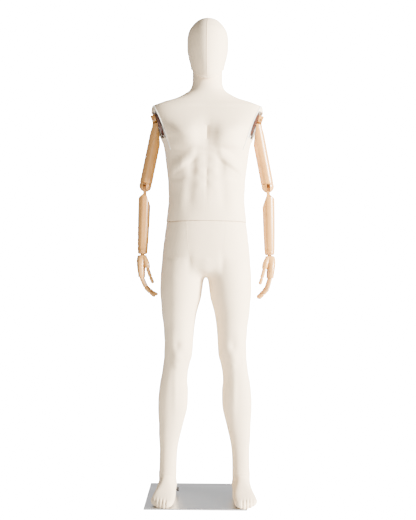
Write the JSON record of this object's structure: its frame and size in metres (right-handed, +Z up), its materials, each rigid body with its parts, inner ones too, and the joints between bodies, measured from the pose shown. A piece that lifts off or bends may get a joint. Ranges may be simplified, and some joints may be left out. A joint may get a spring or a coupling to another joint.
{
  "type": "male display mannequin",
  "caption": "Full-height male display mannequin: linen-covered egg head, torso and legs, jointed wooden arms and hands, steel base plate.",
  "frame": {"origin": "underside of the base plate, under the figure's mid-plane, half way along the plate's depth", "axes": "+Z up, the figure faces -Y, its right side is towards -X"},
  "size_m": [0.5372, 0.402, 1.8491],
  "materials": {
    "linen": "plain weave",
    "wood": "satin varnish",
    "dark_wood": "dark stain",
    "steel": "brushed",
    "black_plastic": "matte",
    "fibreglass": "matte",
    "board": "raw"
  },
  "bodies": {
    "lower_body": {"base_plate": "steel", "base_spigot": "steel", "lower_shell": "fibreglass", "hip_plate": "board", "gusset_cover": "linen", "right_leg_cover": "linen", "left_leg_cover": "linen", "right_foot_cover": "linen", "left_foot_cover": "linen"},
    "lock_knob": {"lock_knob": "black_plastic"},
    "torso": {"torso_shell": "fibreglass", "waist_plate": "board", "torso_cover": "linen", "neck_cover": "linen", "right_armhole_plate": "dark_wood", "left_armhole_plate": "dark_wood"},
    "head_spigot": {"head_spigot": "steel"},
    "head": {"head_shell": "fibreglass", "head_cover": "linen"},
    "right_shoulder_knob": {"right_shoulder_knob": "wood"},
    "right_upper_arm": {"right_upper_arm": "wood"},
    "right_elbow_ball": {"right_elbow_ball": "wood"},
    "right_forearm": {"right_forearm": "wood"},
    "right_wrist_disc": {"right_wrist_disc": "wood"},
    "right_palm": {"right_palm": "wood"},
    "right_index_proximal": {"right_index_proximal": "wood"},
    "right_index_middle": {"right_index_middle": "wood"},
    "right_index_distal": {"right_index_distal": "wood"},
    "right_middle_proximal": {"right_middle_proximal": "wood"},
    "right_middle_middle": {"right_middle_middle": "wood"},
    "right_middle_distal": {"right_middle_distal": "wood"},
    "right_ring_proximal": {"right_ring_proximal": "wood"},
    "right_ring_middle": {"right_ring_middle": "wood"},
    "right_ring_distal": {"right_ring_distal": "wood"},
    "right_little_proximal": {"right_little_proximal": "wood"},
    "right_little_middle": {"right_little_middle": "wood"},
    "right_little_distal": {"right_little_distal": "wood"},
    "right_thumb_proximal": {"right_thumb_proximal": "wood"},
    "right_thumb_distal": {"right_thumb_distal": "wood"},
    "left_shoulder_knob": {"left_shoulder_knob": "wood"},
    "left_upper_arm": {"left_upper_arm": "wood"},
    "left_elbow_ball": {"left_elbow_ball": "wood"},
    "left_forearm": {"left_forearm": "wood"},
    "left_wrist_disc": {"left_wrist_disc": "wood"},
    "left_palm": {"left_palm": "wood"},
    "left_index_proximal": {"left_index_proximal": "wood"},
    "left_index_middle": {"left_index_middle": "wood"},
    "left_index_distal": {"left_index_distal": "wood"},
    "left_middle_proximal": {"left_middle_proximal": "wood"},
    "left_middle_middle": {"left_middle_middle": "wood"},
    "left_middle_distal": {"left_middle_distal": "wood"},
    "left_ring_proximal": {"left_ring_proximal": "wood"},
    "left_ring_middle": {"left_ring_middle": "wood"},
    "left_ring_distal": {"left_ring_distal": "wood"},
    "left_little_proximal": {"left_little_proximal": "wood"},
    "left_little_middle": {"left_little_middle": "wood"},
    "left_little_distal": {"left_little_distal": "wood"},
    "left_thumb_proximal": {"left_thumb_proximal": "wood"},
    "left_thumb_distal": {"left_thumb_distal": "wood"}
  },
  "joints": [
    {"name": "lock_knob", "type": "hinge", "parent": "lower_body", "child": "lock_knob", "pos_m": [-0.103, 0.014, 0.025], "axis": [1, 0, 0], "continuous": true},
    {"name": "torso_lift", "type": "slide", "parent": "lower_body", "child": "torso", "axis": [0, 0, 1], "range_m": [0, 0.09]},
    {"name": "head_turn", "type": "hinge", "parent": "torso", "child": "head_spigot", "pos_m": [0, -0.014, 1.688], "axis": [0, 0, 1], "range_deg": [-80, 80]},
    {"name": "head_lift", "type": "slide", "parent": "head_spigot", "child": "head", "axis": [0, 0, 1], "range_m": [0, 0.06]},
    {"name": "right_shoulder_turn", "type": "hinge", "parent": "torso", "child": "right_shoulder_knob", "pos_m": [-0.1965, -0.008, 1.46328], "axis": [-0.9423, 0, -0.3346], "range_deg": [-15, 35]},
    {"name": "right_shoulder_hinge", "type": "hinge", "parent": "right_shoulder_knob", "child": "right_upper_arm", "pos_m": [-0.2062, -0.008, 1.45771], "axis": [0, 1, 0], "range_deg": [0, 75]},
    {"name": "right_elbow_turn", "type": "hinge", "parent": "right_upper_arm", "child": "right_elbow_ball", "pos_m": [-0.238, -0.008, 1.195], "axis": [-0.1942, 0, -0.981], "range_deg": [-45, 45]},
    {"name": "right_elbow_hinge", "type": "hinge", "parent": "right_elbow_ball", "child": "right_forearm", "pos_m": [-0.238, -0.008, 1.195], "axis": [-0.9995, 0, 0.0301], "range_deg": [0, 90]},
    {"name": "right_wrist_turn", "type": "hinge", "parent": "right_forearm", "child": "right_wrist_disc", "pos_m": [-0.2455, -0.008, 0.946], "axis": [-0.0301, 0, -0.9995], "range_deg": [-60, 60]},
    {"name": "right_wrist_hinge", "type": "hinge", "parent": "right_wrist_disc", "child": "right_palm", "pos_m": [-0.2455, -0.008, 0.946], "axis": [0, -1, 0], "range_deg": [-12, 1]},
    {"name": "right_index_proximal", "type": "hinge", "parent": "right_palm", "child": "right_index_proximal", "pos_m": [-0.2465, -0.0365, 0.845], "axis": [0, -1, 0], "range_deg": [-24, 2]},
    {"name": "right_index_middle", "type": "hinge", "parent": "right_index_proximal", "child": "right_index_middle", "pos_m": [-0.22942, -0.0365, 0.80663], "axis": [0, -1, 0], "range_deg": [-22, 22]},
    {"name": "right_index_distal", "type": "hinge", "parent": "right_index_middle", "child": "right_index_distal", "pos_m": [-0.20999, -0.0365, 0.78787], "axis": [0, -1, 0], "range_deg": [-6, 30]},
    {"name": "right_middle_proximal", "type": "hinge", "parent": "right_palm", "child": "right_middle_proximal", "pos_m": [-0.2465, -0.0175, 0.845], "axis": [0, -1, 0], "range_deg": [-29, 2]},
    {"name": "right_middle_middle", "type": "hinge", "parent": "right_middle_proximal", "child": "right_middle_middle", "pos_m": [-0.22565, -0.0175, 0.80739], "axis": [0, -1, 0], "range_deg": [-26, 18]},
    {"name": "right_middle_distal", "type": "hinge", "parent": "right_middle_middle", "child": "right_middle_distal", "pos_m": [-0.20272, -0.0175, 0.79133], "axis": [0, -1, 0], "range_deg": [-7, 30]},
    {"name": "right_ring_proximal", "type": "hinge", "parent": "right_palm", "child": "right_ring_proximal", "pos_m": [-0.2465, 0.0015, 0.845], "axis": [0, -1, 0], "range_deg": [-27, 2]},
    {"name": "right_ring_middle", "type": "hinge", "parent": "right_ring_proximal", "child": "right_ring_middle", "pos_m": [-0.22789, 0.0015, 0.80847], "axis": [0, -1, 0], "range_deg": [-23, 21]},
    {"name": "right_ring_distal", "type": "hinge", "parent": "right_ring_middle", "child": "right_ring_distal", "pos_m": [-0.2072, 0.0015, 0.79111], "axis": [0, -1, 0], "range_deg": [-8, 30]},
    {"name": "right_little_proximal", "type": "hinge", "parent": "right_palm", "child": "right_little_proximal", "pos_m": [-0.2465, 0.0205, 0.845], "axis": [0, -1, 0], "range_deg": [-24, 2]},
    {"name": "right_little_middle", "type": "hinge", "parent": "right_little_proximal", "child": "right_little_middle", "pos_m": [-0.23267, 0.0205, 0.81394], "axis": [0, -1, 0], "range_deg": [-22, 22]},
    {"name": "right_little_distal", "type": "hinge", "parent": "right_little_middle", "child": "right_little_distal", "pos_m": [-0.21685, 0.0205, 0.79866], "axis": [0, -1, 0], "range_deg": [-6, 30]},
    {"name": "right_thumb_proximal", "type": "hinge", "parent": "right_palm", "child": "right_thumb_proximal", "pos_m": [-0.223, -0.032, 0.88], "axis": [0, -1, 0], "range_deg": [-10, 12]},
    {"name": "right_thumb_distal", "type": "hinge", "parent": "right_thumb_proximal", "child": "right_thumb_distal", "pos_m": [-0.21069, -0.032, 0.84617], "axis": [0, -1, 0], "range_deg": [-3, 40]},
    {"name": "left_shoulder_turn", "type": "hinge", "parent": "torso", "child": "left_shoulder_knob", "pos_m": [0.1965, -0.008, 1.46328], "axis": [-0.9423, 0, 0.3346], "range_deg": [-15, 35]},
    {"name": "left_shoulder_hinge", "type": "hinge", "parent": "left_shoulder_knob", "child": "left_upper_arm", "pos_m": [0.2062, -0.008, 1.45771], "axis": [0, -1, 0], "range_deg": [0, 75]},
    {"name": "left_elbow_turn", "type": "hinge", "parent": "left_upper_arm", "child": "left_elbow_ball", "pos_m": [0.238, -0.008, 1.195], "axis": [-0.1942, 0, 0.981], "range_deg": [-45, 45]},
    {"name": "left_elbow_hinge", "type": "hinge", "parent": "left_elbow_ball", "child": "left_forearm", "pos_m": [0.238, -0.008, 1.195], "axis": [-0.9995, 0, -0.0301], "range_deg": [0, 90]},
    {"name": "left_wrist_turn", "type": "hinge", "parent": "left_forearm", "child": "left_wrist_disc", "pos_m": [0.2455, -0.008, 0.946], "axis": [-0.0301, 0, 0.9995], "range_deg": [-60, 60]},
    {"name": "left_wrist_hinge", "type": "hinge", "parent": "left_wrist_disc", "child": "left_palm", "pos_m": [0.2455, -0.008, 0.946], "axis": [0, 1, 0], "range_deg": [-12, 1]},
    {"name": "left_index_proximal", "type": "hinge", "parent": "left_palm", "child": "left_index_proximal", "pos_m": [0.2465, -0.0365, 0.845], "axis": [0, 1, 0], "range_deg": [-14, 6]},
    {"name": "left_index_middle", "type": "hinge", "parent": "left_index_proximal", "child": "left_index_middle", "pos_m": [0.23634, -0.0365, 0.80425], "axis": [0, 1, 0], "range_deg": [-28, 16]},
    {"name": "left_index_distal", "type": "hinge", "parent": "left_index_middle", "child": "left_index_distal", "pos_m": [0.21827, -0.0365, 0.78418], "axis": [0, 1, 0], "range_deg": [-4, 30]},
    {"name": "left_middle_proximal", "type": "hinge", "parent": "left_palm", "child": "left_middle_proximal", "pos_m": [0.2465, -0.0175, 0.845], "axis": [0, 1, 0], "range_deg": [-17, 6]},
    {"name": "left_middle_middle", "type": "hinge", "parent": "left_middle_proximal", "child": "left_middle_middle", "pos_m": [0.23393, -0.0175, 0.80388], "axis": [0, 1, 0], "range_deg": [-28, 16]},
    {"name": "left_middle_distal", "type": "hinge", "parent": "left_middle_middle", "child": "left_middle_distal", "pos_m": [0.21413, -0.0175, 0.78408], "axis": [0, 1, 0], "range_deg": [-5, 30]},
    {"name": "left_ring_proximal", "type": "hinge", "parent": "left_palm", "child": "left_ring_proximal", "pos_m": [0.2465, 0.0015, 0.845], "axis": [0, 1, 0], "range_deg": [-20, 6]},
    {"name": "left_ring_middle", "type": "hinge", "parent": "left_ring_proximal", "child": "left_ring_middle", "pos_m": [0.23248, 0.0015, 0.80647], "axis": [0, 1, 0], "range_deg": [-24, 20]},
    {"name": "left_ring_distal", "type": "hinge", "parent": "left_ring_middle", "child": "left_ring_distal", "pos_m": [0.21372, 0.0015, 0.78705], "axis": [0, 1, 0], "range_deg": [-6, 30]},
    {"name": "left_little_proximal", "type": "hinge", "parent": "left_palm", "child": "left_little_proximal", "pos_m": [0.2465, 0.0205, 0.845], "axis": [0, 1, 0], "range_deg": [-18, 6]},
    {"name": "left_little_middle", "type": "hinge", "parent": "left_little_proximal", "child": "left_little_middle", "pos_m": [0.23599, 0.0205, 0.81266], "axis": [0, 1, 0], "range_deg": [-22, 22]},
    {"name": "left_little_distal", "type": "hinge", "parent": "left_little_middle", "child": "left_little_distal", "pos_m": [0.22185, 0.0205, 0.79581], "axis": [0, 1, 0], "range_deg": [-4, 30]},
    {"name": "left_thumb_proximal", "type": "hinge", "parent": "left_palm", "child": "left_thumb_proximal", "pos_m": [0.223, -0.032, 0.88], "axis": [0, 1, 0], "range_deg": [-10, 12]},
    {"name": "left_thumb_distal", "type": "hinge", "parent": "left_thumb_proximal", "child": "left_thumb_distal", "pos_m": [0.21368, -0.032, 0.84523], "axis": [0, 1, 0], "range_deg": [-2, 40]}
  ]
}
